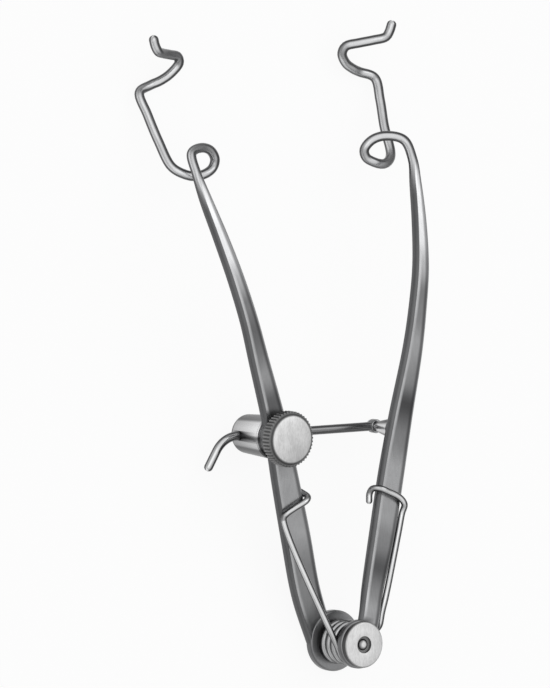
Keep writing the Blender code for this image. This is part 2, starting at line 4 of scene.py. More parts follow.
import bmesh
import bpy
from mathutils import Matrix, Vector
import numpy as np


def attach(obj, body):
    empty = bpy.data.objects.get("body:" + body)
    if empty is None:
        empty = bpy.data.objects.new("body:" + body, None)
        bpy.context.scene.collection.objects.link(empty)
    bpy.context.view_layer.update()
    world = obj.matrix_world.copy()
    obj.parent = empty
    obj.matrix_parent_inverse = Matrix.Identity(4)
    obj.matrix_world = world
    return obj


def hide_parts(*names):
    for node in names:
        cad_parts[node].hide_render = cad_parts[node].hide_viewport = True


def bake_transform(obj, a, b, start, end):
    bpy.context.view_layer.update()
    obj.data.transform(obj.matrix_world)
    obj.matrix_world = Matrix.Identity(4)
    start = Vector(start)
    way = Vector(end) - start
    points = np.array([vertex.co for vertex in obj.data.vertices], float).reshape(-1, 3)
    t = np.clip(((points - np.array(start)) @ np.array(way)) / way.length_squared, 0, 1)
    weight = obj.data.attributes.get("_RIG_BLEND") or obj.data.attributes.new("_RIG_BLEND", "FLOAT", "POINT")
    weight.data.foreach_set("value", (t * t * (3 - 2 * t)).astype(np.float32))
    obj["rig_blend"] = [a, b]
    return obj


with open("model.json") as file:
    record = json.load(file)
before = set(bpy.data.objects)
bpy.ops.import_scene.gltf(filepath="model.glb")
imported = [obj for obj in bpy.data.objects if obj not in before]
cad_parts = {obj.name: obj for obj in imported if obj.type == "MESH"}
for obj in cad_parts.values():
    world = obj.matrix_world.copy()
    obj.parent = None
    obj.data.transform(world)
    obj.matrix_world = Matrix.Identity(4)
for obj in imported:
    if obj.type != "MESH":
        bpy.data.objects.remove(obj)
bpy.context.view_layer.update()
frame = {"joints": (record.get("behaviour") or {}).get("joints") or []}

mm = 0.001
near = 0.01  # mm within which two places count as one
scene = bpy.context.scene

# The speculum is drawn in its hinge frame: hinge axis +Z, arms along +Y, front +Z.
# The hinge joint says how that frame lies on the table.
hingeJoint = next(joint for joint in frame["joints"] if joint["name"] == "arm_hinge")
tableTilt = math.atan2(-hingeJoint["axis"][1], hingeJoint["axis"][2])
onTable = Matrix.Translation(hingeJoint["pos_m"]) @ Matrix.Rotation(tableTilt, 4, "X")


def atMm(x, y, z):
    return Vector((x, y, z)) * mm


# camera
cameraSettings = {
    "aim": (-9.8, 37.06, 0.0),      # point in the middle of the frame, mm in the hinge frame
    "right": 36.02,                 # degrees from the front round to the left side
    "above": 5.5,                   # degrees from level towards the blades
    "distance": 4.0,
    "frameHeight": 83.9 * mm,
    "sensor": 24.0,
}


def makeCamera():
    s = cameraSettings
    right, above = math.radians(s["right"]), math.radians(s["above"])
    level = math.cos(above)
    back = Vector((-math.sin(right) * level, math.sin(above), math.cos(right) * level))
    across = Vector((math.cos(right), 0.0, math.sin(right)))
    up = back.cross(across)
    turn = Matrix((across, up, back)).transposed().to_4x4()
    place = Matrix.Translation(atMm(*s["aim"]) + back * s["distance"])
    data = bpy.data.cameras.new("photoCamera")
    data.sensor_fit = "VERTICAL"
    data.sensor_height = s["sensor"]
    data.lens = s["sensor"] * s["distance"] / s["frameHeight"]
    data.clip_end = s["distance"] * 4
    camera = bpy.data.objects.new("photoCamera", data)
    camera.matrix_world = onTable @ place @ turn
    scene.collection.objects.link(camera)
    scene.camera = camera


makeCamera()
print("camera placed")

# node groups shared by the steels
steelMarks = {
    # scale, detail and roughness of each noise
    "fineLines": (9.0, 3.0, 0.7), "broadLines": (1.7, 2.0, 0.5), "cloud": (190.0, 3.0, 0.55),
    "fineShare": 0.65,                # of the fine lines in the mix with the broad ones
    # values from which a mark shows and at which it is full
    "lineRange": (0.34, 0.66), "grooveRange": (0.3, 0.7), "smearRange": (0.25, 0.78),
    "pitRange": (0.03, 0.09), "pitScale": 1400.0, "pitDepth": 0.6,
    "even": 0.5,                      # value of a mark that changes nothing
    # roughness: its base, what a smear adds and what the painted shine level takes off
    "roughBase": 0.55, "roughSmear": 0.45, "roughRubbed": 0.5,
    "grooveHeight": 0.6, "bumpDistance": 0.02 * mm,
}


def newGroup(name, inputs, outputs):
    group = bpy.data.node_groups.new(name, "ShaderNodeTree")
    for socketName, kind, value in inputs:
        socket = group.interface.new_socket(name=socketName, in_out="INPUT", socket_type=kind)
        if value is not None:
            socket.default_value = value
    for socketName, kind in outputs:
        group.interface.new_socket(name=socketName, in_out="OUTPUT", socket_type=kind)
    return group, group.nodes.new("NodeGroupInput"), group.nodes.new("NodeGroupOutput")


def addMath(tree, operation, first, second, clamp=False):
    node = tree.nodes.new("ShaderNodeMath")
    node.operation = operation
    node.use_clamp = clamp
    for socket, value in zip(node.inputs, (first, second)):
        if isinstance(value, (int, float)):
            socket.default_value = value
        else:
            tree.links.new(value, socket)
    return node.outputs[0]


def addRange(tree, value, low, high, toLow=0.0, toHigh=1.0, smooth=True):
    node = tree.nodes.new("ShaderNodeMapRange")
    node.interpolation_type = "SMOOTHSTEP" if smooth else "LINEAR"
    tree.links.new(value, node.inputs["Value"])
    for socketName, number in (("From Min", low), ("From Max", high), ("To Min", toLow), ("To Max", toHigh)):
        node.inputs[socketName].default_value = number
    return node.outputs["Result"]


def addNoise(tree, place, scale, detail, roughness):
    node = tree.nodes.new("ShaderNodeTexNoise")
    tree.links.new(place, node.inputs["Vector"])
    node.inputs["Scale"].default_value = scale
    node.inputs["Detail"].default_value = detail
    node.inputs["Roughness"].default_value = roughness
    return node.outputs["Fac"]


def makePolishLines():
    # Fine lines of grinding, drawing or turning. The place is already stretched along the lines.
    group, given, result = newGroup("polishLines", (("Place", "NodeSocketVector", None),),
                                    (("Lines", "NodeSocketFloat"), ("Groove", "NodeSocketFloat")))
    s = steelMarks
    place = given.outputs["Place"]
    fine = addNoise(group, place, *s["fineLines"])
    broad = addNoise(group, place, *s["broadLines"])
    both = addMath(group, "ADD", addMath(group, "MULTIPLY", fine, s["fineShare"]),
                   addMath(group, "MULTIPLY", broad, 1.0 - s["fineShare"]))
    group.links.new(addRange(group, both, *s["lineRange"]), result.inputs["Lines"])
    group.links.new(addRange(group, fine, *s["grooveRange"], smooth=False), result.inputs["Groove"])
    return group


def makeHandlingMarks():
    # Cloudy smears from handling and cleaning, and a few small pits
    group, given, result = newGroup("handlingMarks", (("Place", "NodeSocketVector", None),),
                                    (("Smears", "NodeSocketFloat"), ("Pits", "NodeSocketFloat")))
    s = steelMarks
    place = given.outputs["Place"]
    cloud = addNoise(group, place, *s["cloud"])
    group.links.new(addRange(group, cloud, *s["smearRange"]), result.inputs["Smears"])
    cells = group.nodes.new("ShaderNodeTexVoronoi")
    cells.inputs["Scale"].default_value = s["pitScale"]
    group.links.new(place, cells.inputs["Vector"])
    pits = addRange(group, cells.outputs["Distance"], *s["pitRange"], s["pitDepth"], 0.0)
    group.links.new(pits, result.inputs["Pits"])
    return group


def makeSteelTone():
    # Colour, roughness and height from the marks and from the painted shine level, where a near-black to
    # bright base colour stands in for reflections and shade, with some real edge wear
    group, given, result = newGroup(
        "steelTone",
        (("Lines", "NodeSocketFloat", 0.5), ("Groove", "NodeSocketFloat", 0.5),
         ("Smears", "NodeSocketFloat", 0.5), ("Pits", "NodeSocketFloat", 0.0),
         ("Painted Shine And Wear", "NodeSocketFloat", 0.5), ("Dull", "NodeSocketColor", (0.2, 0.2, 0.2, 1.0)),
         ("Bright", "NodeSocketColor", (0.7, 0.7, 0.7, 1.0)),
         ("Line Depth", "NodeSocketFloat", 0.2), ("Smear Depth", "NodeSocketFloat", 0.1)),
        (("Color", "NodeSocketColor"), ("Roughness Share", "NodeSocketFloat"), ("Height", "NodeSocketFloat")))
    s, put = steelMarks, given.outputs
    lined, cloudy = (
        addMath(group, "MULTIPLY", addMath(group, "SUBTRACT", put[mark], s["even"]), put[depth])
        for mark, depth in (("Lines", "Line Depth"), ("Smears", "Smear Depth")))
    uneven = addMath(group, "ADD", lined, cloudy)
    paintedShineAndWear = addMath(group, "MULTIPLY", put["Painted Shine And Wear"], addMath(group, "ADD", uneven, 1.0), clamp=True)
    mix = group.nodes.new("ShaderNodeMix")
    mix.data_type = "RGBA"
    group.links.new(paintedShineAndWear, mix.inputs["Factor"])
    group.links.new(put["Dull"], mix.inputs["A"])
    group.links.new(put["Bright"], mix.inputs["B"])
    group.links.new(mix.outputs["Result"], result.inputs["Color"])
    smear = addMath(group, "MULTIPLY", put["Smears"], s["roughSmear"])
    paintedShineLevel = addMath(group, "MULTIPLY", put["Painted Shine And Wear"], s["roughRubbed"])
    share = addMath(group, "SUBTRACT", addMath(group, "ADD", smear, s["roughBase"]), paintedShineLevel, clamp=True)
    group.links.new(share, result.inputs["Roughness Share"])
    groove = addMath(group, "MULTIPLY", put["Groove"], s["grooveHeight"])
    group.links.new(addMath(group, "SUBTRACT", groove, put["Pits"]), result.inputs["Height"])
    return group


polishLines = makePolishLines()
handlingMarks = makeHandlingMarks()
steelTone = makeSteelTone()

# Each finish: colours at the lowest and the highest painted shine level (painted shade and painted
# reflection), roughness from and to, how the lines lie (by the piece's UV or its place, turned in degrees and
# stretched), and how much lines and smears show in the colour and the lines in the bump
finishes = {
    "forgedSteel": {"dull": (0.04, 0.04, 0.042), "bright": (0.76, 0.765, 0.775), "rough": (0.20, 0.38),
                    "lines": "place", "turn": 0.0, "stretch": (2200.0, 90.0, 2200.0), "depth": 0.16,
                    "smear": 0.20, "bump": 0.02},
    "drawnWire": {"dull": (0.025, 0.025, 0.027), "bright": (0.88, 0.885, 0.89), "rough": (0.14, 0.28),
                  "lines": "uv", "turn": 0.0, "stretch": (14.0, 0.25, 1.0), "depth": 0.10, "smear": 0.14,
                  "bump": 0.02},
    "turnedSteel": {"dull": (0.035, 0.035, 0.037), "bright": (0.82, 0.82, 0.825), "rough": (0.18, 0.36),
                    "lines": "uv", "turn": 0.0, "stretch": (1.2, 7.0, 1.0), "depth": 0.14, "smear": 0.10,
                    "bump": 0.04},
    "satinFace": {"dull": (0.035, 0.035, 0.036), "bright": (0.90, 0.90, 0.90), "rough": (0.28, 0.48),
                  "lines": "place", "turn": -38.0, "stretch": (900.0, 110.0, 900.0), "depth": 0.26,
                  "smear": 0.18, "bump": 0.04},
}


def makeFinish(name):
    look = finishes[name]
    material = bpy.data.materials.new(name)
    material.use_nodes = True
    tree = material.node_tree
    shader = tree.nodes["Principled BSDF"]
    shader.inputs["Metallic"].default_value = 1.0
    where = tree.nodes.new("ShaderNodeTexCoord")
    stretch = tree.nodes.new("ShaderNodeMapping")
    stretch.inputs["Scale"].default_value = look["stretch"]
    stretch.inputs["Rotation"].default_value[2] = math.radians(look["turn"])
    tree.links.new(where.outputs["UV" if look["lines"] == "uv" else "Object"], stretch.inputs["Vector"])
    # attribute of painted shine: painted reflection and shade, with some real edge wear
    paintedShineAndWear = tree.nodes.new("ShaderNodeAttribute")
    paintedShineAndWear.attribute_name = "paintedShineAndWear"
    lines, marks, tone = (tree.nodes.new("ShaderNodeGroup") for _ in range(3))
    lines.node_tree, marks.node_tree, tone.node_tree = polishLines, handlingMarks, steelTone
    tree.links.new(stretch.outputs["Vector"], lines.inputs["Place"])
    tree.links.new(where.outputs["Object"], marks.inputs["Place"])
    tree.links.new(paintedShineAndWear.outputs["Fac"], tone.inputs["Painted Shine And Wear"])
    for source, socketName in ((lines, "Lines"), (lines, "Groove"), (marks, "Smears"), (marks, "Pits")):
        tree.links.new(source.outputs[socketName], tone.inputs[socketName])
    tone.inputs["Dull"].default_value = (*look["dull"], 1.0)
    tone.inputs["Bright"].default_value = (*look["bright"], 1.0)
    tone.inputs["Line Depth"].default_value = look["depth"]
    tone.inputs["Smear Depth"].default_value = look["smear"]
    tree.links.new(tone.outputs["Color"], shader.inputs["Base Color"])
    low, high = look["rough"]
    rough = addRange(tree, tone.outputs["Roughness Share"], 0.0, 1.0, low, high, smooth=False)
    tree.links.new(rough, shader.inputs["Roughness"])
    bump = tree.nodes.new("ShaderNodeBump")
    bump.inputs["Strength"].default_value = look["bump"]
    bump.inputs["Distance"].default_value = steelMarks["bumpDistance"]
    tree.links.new(tone.outputs["Height"], bump.inputs["Height"])
    tree.links.new(bump.outputs["Normal"], shader.inputs["Normal"])
    return material


steels = {name: makeFinish(name) for name in finishes}
print("finishes ready:", ", ".join(steels))

# curves, sweeps and turned shapes


def mixPoints(a, b, t, low, high):
    share = (t - low) / (high - low)
    return [p + (q - p) * share for p, q in zip(a, b)]


def smoothCurve(points, stepOf):
    # Centripetal curve through the points, which may carry more numbers after x, y and z.
    # stepOf gives the step along it between two of the points.
    first = [2 * a - b for a, b in zip(points[0], points[1])]
    last = [2 * a - b for a, b in zip(points[-1], points[-2])]
    hull = [first, *points, last]
    curve = []
    for four in zip(hull, hull[1:], hull[2:], hull[3:]):
        knots = [0.0]
        for a, b in zip(four, four[1:]):
            knots.append(knots[-1] + math.dist(a[:3], b[:3]) ** 0.5)
        spans = {1: lambda i: (knots[i], knots[i + 1]), 2: lambda i: (knots[i], knots[i + 2]),
                 3: lambda i: (knots[1], knots[2])}
        steps = max(1, round(math.dist(four[1][:3], four[2][:3]) / stepOf(four[1], four[2])))
        for step in range(steps):
            t = knots[1] + (knots[2] - knots[1]) * step / steps
            level = list(four)
            for width in (1, 2, 3):
                level = [mixPoints(level[i], level[i + 1], t, *spans[width](i))
                         for i in range(len(level) - 1)]
            curve.append(level[0])
    curve.append(list(points[-1]))
    return curve


def curveFrames(curve):
    # Point, tangent, side and face direction along the curve
    points = [Vector(p[:3]) for p in curve]
    placed, side, previous = [], None, None
    for i, point in enumerate(points):
        tangent = (points[min(i + 1, len(points) - 1)] - points[max(i - 1, 0)]).normalized()
        if side is None:
            side = tangent.cross(Vector((0, 0, 1))).normalized()
        else:
            side = previous.rotation_difference(tangent) @ side
            side = (side - tangent * side.dot(tangent)).normalized()
        placed.append((point, tangent, side, side.cross(tangent)))
        previous = tangent
    return placed


def setUv(bm, place):
    # place gives (round the piece from 0 to 1, along it in mm) of each vertex
    layer = bm.loops.layers.uv.new("UVMap")
    for face in bm.faces:
        rounds = [place[loop.vert][0] for loop in face.loops]
        seam = max(rounds) - min(rounds) > 0.5
        for loop, share in zip(face.loops, rounds):
            loop[layer].uv = (share + 1.0 if seam and share < 0.5 else share, place[loop.vert][1])


def sweepRings(rings, shine):
    # Extrudes a closed ring along its places. shine gives each vertex its painted shine level.
    sides = len(rings[0])
    bm = bmesh.new()
    paintedShineAndWear = bm.verts.layers.float.new("paintedShineAndWear")
    ring = bmesh.ops.create_circle(bm, cap_ends=True, radius=mm, segments=sides)["verts"]
    place, along = {}, 0.0
    for number, spots in enumerate(rings):
        if number:
            loop = [bm.edges.get(pair) for pair in zip(ring, ring[1:] + ring[:1])]
            made = bmesh.ops.extrude_edge_only(bm, edges=loop)["geom"]
            fresh = {item for item in made if isinstance(item, bmesh.types.BMVert)}
            ring = [next(e.other_vert(v) for e in v.link_edges if e.other_vert(v) in fresh) for v in ring]
            along += (sum(spots, Vector()) - sum(rings[number - 1], Vector())).length / sides / mm
        for k, (vert, spot) in enumerate(zip(ring, spots)):
            vert.co = spot
            vert[paintedShineAndWear] = shine[number][k]
            place[vert] = (k / sides, along)
    bmesh.ops.contextual_create(bm, geom=[bm.edges.get(pair) for pair in zip(ring, ring[1:] + ring[:1])])
    bmesh.ops.recalc_face_normals(bm, faces=bm.faces)
    setUv(bm, place)
    return bm


# painted highlights along the wires, with painted shade on their flanks
wirePaintedHighlights = {
    "toward": (-0.66, 0.06, 0.75),  # one of the painted highlight lines along the wires lies on this side
    "lines": 3,                     # as many lines, evenly round the wire
    "low": 0.06, "high": 0.98,      # painted shade between the lines and painted highlight on them
    "from": 0.78, "to": 0.94,       # cosines between which the one becomes the other
    "bend": (0.45, 1.2),            # turn per mm from which a bend gets painted shade, and where it is darkest
    "bendLoss": 0.60,               # share of the painted brightness that is lost there
    "bendReach": 2,                 # points before and after, between which the turn is measured
    "slant": (0.3, 0.95),           # how far across the wire that side lies, from no line to a full one
}


def easeShare(value, low, high):
    share = max(0.0, min(1.0, (value - low) / (high - low)))
    return share * share * (3 - 2 * share)


def paintedShineAt(table, spot):
    # Painted shine level at this spot, from a few (spot, level) pairs
    for (lowSpot, low), (highSpot, high) in zip(table, table[1:]):
        if spot <= highSpot:
            return low + (high - low) * easeShare(spot, lowSpot, highSpot)
    return table[-1][1]


def wireLevel(tangent, normal, paintedShineLevel=1.0):
    # Painted highlight and shade on a wire's skin, from where the normal lies round it
    s = wirePaintedHighlights
    toward = Vector(s["toward"]).normalized()
    across = toward - tangent * toward.dot(tangent)
    turn = math.atan2(normal.dot(tangent.cross(across)), normal.dot(across))
    span = math.tau / s["lines"]
    offLine = abs((turn + span / 2) % span - span / 2)
    share = easeShare(math.cos(offLine), s["from"], s["to"]) * easeShare(across.length, *s["slant"])
    return s["low"] + (s["high"] * paintedShineLevel - s["low"]) * share


def bendPaintedShade(placed, i, unit=1.0):
    # Painted shade: less than 1 where the wire bends sharply
    reach = wirePaintedHighlights["bendReach"]
    before, after = placed[max(i - reach, 0)], placed[min(i + reach, len(placed) - 1)]
    turn = before[1].angle(after[1]) / max((after[0] - before[0]).length / unit, near)
    return 1.0 - wirePaintedHighlights["bendLoss"] * easeShare(turn, *wirePaintedHighlights["bend"])


def circleOffsets(placedPoint, radius, sides):
    side, face = placedPoint[2:]
    turns = (math.tau * (k + 0.5) / sides for k in range(sides))
    return [(side * math.cos(turn) + face * math.sin(turn)) * radius for turn in turns]


# rings of a rounded end, and its length over its radius
wireEnd = {"degrees": (30, 55, 75), "length": 0.85}


def domeRings(placedPoint, way, radius, offsets):
    # Rounded end of a wire, from the full ring outward
    point, tangent = placedPoint[:2]
    rings = []
    for degrees in wireEnd["degrees"]:
        turn = math.radians(degrees)
        middle = point + tangent * way * radius * wireEnd["length"] * math.sin(turn)
        rings.append([middle + offset * math.cos(turn) for offset in offsets])
    return rings


def sweepWire(path, radius, sides, paintedShineOf):
    # the last argument gives the painted brightness of the wire at a number along its path
    placed = curveFrames(path)
    rings, shine = [], []
    for i, spot in enumerate(placed):
        offsets = circleOffsets(spot, radius, sides)
        paintedShineLevel = paintedShineOf(i) * bendPaintedShade(placed, i, mm)
        rings.append([spot[0] + offset for offset in offsets])
        shine.append([wireLevel(spot[1], offset.normalized(), paintedShineLevel) for offset in offsets])
    start = domeRings(placed[0], -1, radius, circleOffsets(placed[0], radius, sides))
    end = domeRings(placed[-1], 1, radius, circleOffsets(placed[-1], radius, sides))
    shine = [shine[0]] * len(start) + shine + [shine[-1]] * len(end)
    return sweepRings(start[::-1] + rings + end, shine)


turning = {
    "paintedShineLevel": 0.6,          # where no shine is given
    "merge": 0.0005 * mm,
    "sharp": 28,            # degrees from which an edge is broken
    "bevelSteps": 2,
    "drillSegments": 64,
    "cutMerge": 0.008 * mm,  # the cuts leave near-double corners, which would make slivers
}


def turnProfile(profile, segments, centre=(0.0, 0.0), shine=None, bevel=0.03, wear=0.2):
    # Spins (radius, z) points in mm round a line along Z, and breaks the sharp edges by bevel mm,
    # where wear makes them brighter
    bm = bmesh.new()
    paintedShineAndWear = bm.verts.layers.float.new("paintedShineAndWear")
    verts = [bm.verts.new(atMm(radius, 0.0, z)) for radius, z in profile]
    for vert, level in zip(verts, shine or [turning["paintedShineLevel"]] * len(verts)):
        vert[paintedShineAndWear] = level
    edges = [bm.edges.new(pair) for pair in zip(verts, verts[1:])]
    if profile[0][0] > 0.0:
        edges.append(bm.edges.new((verts[-1], verts[0])))
    bmesh.ops.spin(bm, geom=verts + edges, cent=(0, 0, 0), axis=(0, 0, 1), dvec=(0, 0, 0),
                   angle=math.tau, steps=segments, use_merge=True, use_duplicate=False)
    bmesh.ops.remove_doubles(bm, verts=bm.verts, dist=turning["merge"])
    bmesh.ops.recalc_face_normals(bm, faces=bm.faces)
    along = [0.0]
    for a, b in zip(profile, profile[1:]):
        along.append(along[-1] + math.dist(a, b))
    spots = {(round(r, 3), round(z, 3)): length for (r, z), length in zip(profile, along)}
    place = {}
    for vert in bm.verts:
        key = (round(math.hypot(vert.co.x, vert.co.y) / mm, 3), round(vert.co.z / mm, 3))
        nearest = min(spots, key=lambda spot: math.dist(spot, key)) if key not in spots else key
        place[vert] = (math.atan2(vert.co.y, vert.co.x) / math.tau % 1.0, spots[nearest])
    setUv(bm, place)
    if bevel:
        limit = math.radians(turning["sharp"])
        sharp = [e for e in bm.edges if e.is_manifold and e.calc_face_angle() > limit]
        made = bmesh.ops.bevel(bm, geom=sharp, offset=bevel * mm, offset_type="OFFSET", affect="EDGES",
                               segments=turning["bevelSteps"], profile=0.5, material=-1, clamp_overlap=True)
        for face in made["faces"]:
            for vert in face.verts:
                vert[paintedShineAndWear] = min(1.0, vert[paintedShineAndWear] + wear)
    bmesh.ops.translate(bm, verts=bm.verts, vec=atMm(centre[0], centre[1], 0.0))
    return bm


def paintBandsRound(bm, table, radius, ends=((0.0, 1.0), (1.0, 1.0))):
    # Painted reflection bands on the outer face, by the sine round its axis.
    # ends gives the share that is left of it, by the height in mm.
    paintedShineAndWear = bm.verts.layers.float["paintedShineAndWear"]
    for vert in bm.verts:
        reach = math.hypot(vert.co.x, vert.co.y)
        if reach > radius * mm:
            vert[paintedShineAndWear] = paintedShineAt(table, vert.co.y / reach) * paintedShineAt(ends, vert.co.z / mm)


def ringProfile(bore, radius, low, high, edge):
    return ((bore, low), (radius - edge, low), (radius, low + edge),
            (radius, high - edge), (radius - edge, high), (bore, high))


def drillBit(radius, low, high, centre=(0.0, 0.0)):
    profile = ((0.0, low), (radius, low), (radius, high), (0.0, high))
    return turnProfile(profile, turning["drillSegments"], centre, bevel=0.0)


def looseObject(name, bm):
    mesh = bpy.data.meshes.new(name)
    bm.to_mesh(mesh)
    bm.free()
    obj = bpy.data.objects.new(name, mesh)
    scene.collection.objects.link(obj)
    return obj


def combine(obj, others, operation):
    for other in others:
        modifier = obj.modifiers.new("combine", "BOOLEAN")
        modifier.operation, modifier.solver, modifier.object = operation, "EXACT", other
        graph = bpy.context.evaluated_depsgraph_get()
        mesh = bpy.data.meshes.new_from_object(obj.evaluated_get(graph))
        obj.modifiers.clear()
        obj.data = mesh
        bpy.data.objects.remove(other, do_unlink=True)
    bm = bmesh.new()
    bm.from_mesh(obj.data)
    bmesh.ops.remove_doubles(bm, verts=bm.verts, dist=turning["cutMerge"])
    bmesh.ops.dissolve_degenerate(bm, edges=bm.edges, dist=turning["cutMerge"])
    bm.to_mesh(obj.data)
    bm.free()


smoothAngle = 40  # degrees up to which faces are shaded as one


def finishPiece(obj, finish, body, node):
    obj.data.transform(onTable)
    obj.data.materials.clear()
    obj.data.materials.append(steels[finish])
    obj.data.shade_smooth()
    obj.data.set_sharp_from_angle(angle=math.radians(smoothAngle))
    weighted = obj.modifiers.new("weighted", "WEIGHTED_NORMAL")
    weighted.keep_sharp = True
    if isinstance(body, str):
        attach(obj, body)
    else:
        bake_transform(obj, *body)
    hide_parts(node)
    print("made", obj.name, len(obj.data.polygons))


# arms. Sizes are in mm in the hinge frame, and each eye has its radius and thickness.
hinge = {
    "rear": -1.97, "leftEye": (3.75, 1.14), "rightEye": (3.0, 0.9), "rightEyeRear": 3.428,
    "pin": 0.9, "gap": 0.05, "sideGap": 0.04, "eyeEdge": 0.18,
}
clamp = {
    "x": 9.05, "y": 25.5, "rod": -5.2, "bossRadius": 2.4, "bossLow": -1.1, "bossHigh": 0.2, "neck": 1.5,
    "pad": {"radius": 1.4, "low": -1.2, "high": -0.5, "edge": 0.09, "bore": 0.65, "boreTop": -0.56},
}
arms = {
    # x outward, y along the arm, z, width, and thickness as a share of the strip's
    "leftHip": ((1.8, 0.0, -1.4, 3.9, 0.95), (3.95, 6.0, -1.55, 4.1, 1.0), (5.7, 13.0, -1.3, 4.15, 1.0),
                (7.6, 20.0, -0.85, 3.85, 1.0)),
    "rightHip": ((1.1, 0.8, 3.878, 3.1, 0.7), (1.65, 3.2, 3.838, 3.1, 0.7), (2.75, 6.2, 2.95, 3.1, 0.9),
                 (5.2, 12.8, 1.6, 3.6, 1.0), (7.5, 20.2, 0.4, 3.65, 1.0)),
    "run": ((9.5, 27.0, -0.4, 3.3, 1.0), (11.6, 35.0, -0.8, 2.75, 1.0), (12.75, 40.0, -1.3, 2.45, 1.0),
            (13.95, 45.0, -2.3, 2.25, 1.0), (15.0, 50.0, -4.0, 2.0, 1.0), (15.95, 55.0, -6.1, 1.6, 1.0)),
    "loopAndBlade": ((16.35, 57.8, -7.3), (16.05, 60.05, -8.7), (13.95, 60.6, -9.6), (12.2, 60.13, -10.06),
                     (11.3, 59.0, -10.4), (11.58, 58.03, -10.43), (12.75, 57.35, -10.27),
                     (14.3, 57.05, -10.5), (15.68, 57.45, -11.2), (16.6, 58.3, -12.2), (17.1, 61.3, -14.2),
                     (17.6, 64.4, -15.75), (17.8, 67.0, -17.15), (15.84, 67.8, -17.6), (14.55, 68.3, -17.3),
                     (13.27, 69.1, -17.0), (12.35, 70.4, -16.45), (12.7, 71.2, -16.2),
                     (14.33, 71.6, -15.55), (15.9, 71.9, -14.85), (17.25, 72.3, -14.05),
                     (17.75, 73.05, -13.95), (18.0, 73.8, -13.9)),
    "strip": 1.1,
    "wire": 1.2,
    "frontChamfer": 0.36,
    "rearChamfer": 0.24,
    "edgeBreak": 0.05,
    # mm past the chamfer: start and end of the painted highlight line, and where the face's own painted shine
    # starts
    "edgeLine": (0.14, 0.30, 0.58),
    "edgeRoom": 0.9,                # share of half the face that these may take where it is narrow
    "corner": 8,                    # points on each corner of the section
    "flatRatio": 1.6,               # width over thickness from which the strip is fully flat
    "stripStep": 0.6,
    "wireStep": 0.28,
    # painted shine of the faces to the left and right of the strip and of the eyes' sides: painted shade on
    # the sides and a painted highlight line beside the chamfer. The left edge line is at least this bright,
    # and the right one is this share of the face's level.
    "shine": {"leftSide": 0.10, "leftChamfer": 0.15, "leftLine": 0.62,
              "rightSide": 0.42, "rightChamfer": 0.30, "rightLine": 0.35, "eye": 0.14},
    # painted reflections on the broad faces, as light and dark bands: y along the arm and level
    "leftPolish": ((-4, 0.34), (2, 0.34), (5, 0.32), (9, 0.30), (14, 0.50), (20, 0.53), (24, 0.26),
                   (30, 0.13), (33, 0.40), (36, 0.22), (39, 0.16), (42, 0.22), (44.5, 0.42), (48, 0.80),
                   (54, 0.95)),
    "rightPolish": ((-4, 0.40), (3, 0.44), (6, 0.25), (9, 0.08), (12, 0.27), (15, 0.42), (20.5, 0.54),
                    (24, 0.28), (28.5, 0.05), (32, 0.34), (36, 0.46), (39.5, 0.28), (42, 0.22), (45, 0.44),
                    (49, 0.85), (54, 0.95)),
}


def stripSection(width, thickness, roundShare, facePolish):
    # One ring of the arm: chamfered strip that turns into round wire. Gives side, face and painted shine.
    count, shines = arms["corner"], arms["shine"]
    radius = thickness / 2
    ring = []
    for corner in range(4):
        chamfer = arms["frontChamfer" if corner < 2 else "rearChamfer"]
        signX, signZ = (1 if corner in (0, 3) else -1), (1 if corner < 2 else -1)
        cut = arms["edgeBreak"] / (chamfer * math.sqrt(2))
        hand = "right" if signX > 0 else "left"
        sideShine, chamferShine = shines[hand + "Side"], shines[hand + "Chamfer"]
        line = facePolish * shines["rightLine"] if signX > 0 else max(shines["leftLine"], facePolish)
        narrow = min(1.0, arms["edgeRoom"] * (width / 2 - chamfer) / arms["edgeLine"][-1])
        lineStart, lineEnd, faceStart = (past * narrow for past in arms["edgeLine"])
        # places across the corner: under 0 on the side face, 0 to 1 on the chamfer, then past it in mm
        spots = ((-arms["edgeBreak"], sideShine), (cut, chamferShine), (0.5, chamferShine),
                 (1 - cut, chamferShine), (1 + arms["edgeBreak"] * narrow, chamferShine),
                 (1 + lineStart, line), (1 + lineEnd, line), (1 + faceStart, facePolish))
        for k in range(count):
            share, shine = spots[k if corner in (0, 2) else count - 1 - k]
            inward = max(0.0, min(1.0, share))
            across = width / 2 - chamfer * inward - max(0.0, share - 1)
            lift = thickness / 2 - chamfer * (1 - inward) + min(0.0, share)
            turn = math.radians(90 * corner + 90 * (k + 0.5) / count)
            roundAcross = signX * (width / 2 - radius) + radius * math.cos(turn)
            roundLift = radius * math.sin(turn)
            ring.append((signX * across + (roundAcross - signX * across) * roundShare,
                         signZ * lift + (roundLift - signZ * lift) * roundShare, shine))
    return ring


def armCurve(hip, side):
    stations = [[*row[:4], row[4] * arms["strip"]] for row in arms[hip + "Hip"] + arms["run"]]
    stations += [[*row, arms["wire"], arms["wire"]] for row in arms["loopAndBlade"]]
    wireStart = arms["loopAndBlade"][0][1]

    def stepOf(start, end):
        return arms["stripStep"] if start[1] < wireStart and end[1] <= wireStart else arms["wireStep"]

    return [[side * row[0], *row[1:]] for row in smoothCurve(stations, stepOf)]


